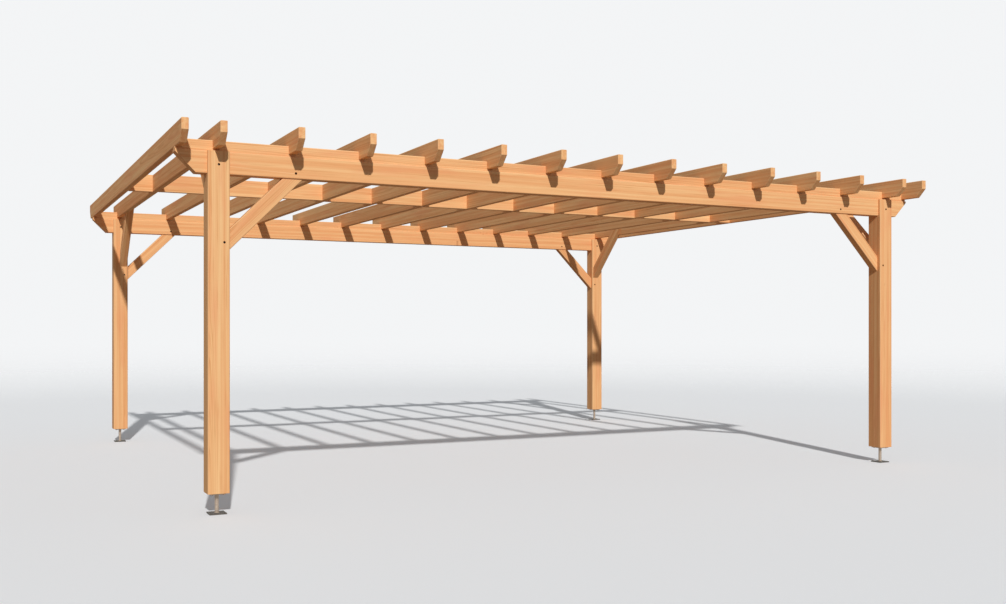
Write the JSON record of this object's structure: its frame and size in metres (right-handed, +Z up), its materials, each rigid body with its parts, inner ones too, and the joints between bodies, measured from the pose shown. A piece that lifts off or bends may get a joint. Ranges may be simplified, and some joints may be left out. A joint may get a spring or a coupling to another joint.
{
  "type": "free-standing timber pergola with braced posts on steel stand-off feet",
  "caption": "Open timber pergola: braced posts on steel stand-off feet carry long beams, notched plates and a roof of deep rafters with cut-back tails.",
  "frame": {"origin": "on the ground, in the middle of the footprint of the four posts", "axes": "+X along the beams, to the right as seen from the front; +Y to the back; +Z up"},
  "size_m": [6.4, 5.4, 2.502],
  "materials": {
    "timber": "planed, lightly oiled",
    "galvanised_steel": "galvanised, dull"
  },
  "bodies": {
    "root": {"post_front_left": "timber", "post_foot_front_left": "galvanised_steel", "beam_brace_front_left": "timber", "rafter_brace_front_left": "timber", "post_front_right": "timber", "post_foot_front_right": "galvanised_steel", "beam_brace_front_right": "timber", "rafter_brace_front_right": "timber", "post_back_left": "timber", "post_foot_back_left": "galvanised_steel", "beam_brace_back_left": "timber", "rafter_brace_back_left": "timber", "post_back_right": "timber", "post_foot_back_right": "galvanised_steel", "beam_brace_back_right": "timber", "rafter_brace_back_right": "timber", "front_beam": "timber", "front_rafter_plate": "timber", "back_beam": "timber", "back_rafter_plate": "timber", "rafter_01": "timber", "rafter_02": "timber", "rafter_03": "timber", "rafter_04": "timber", "rafter_05": "timber", "rafter_06": "timber", "rafter_07": "timber", "rafter_08": "timber", "rafter_09": "timber", "rafter_10": "timber", "rafter_11": "timber", "rafter_12": "timber", "rafter_13": "timber", "rafter_14": "timber", "rafter_15": "timber", "mid_blocking": "timber"}
  },
  "joints": []
}
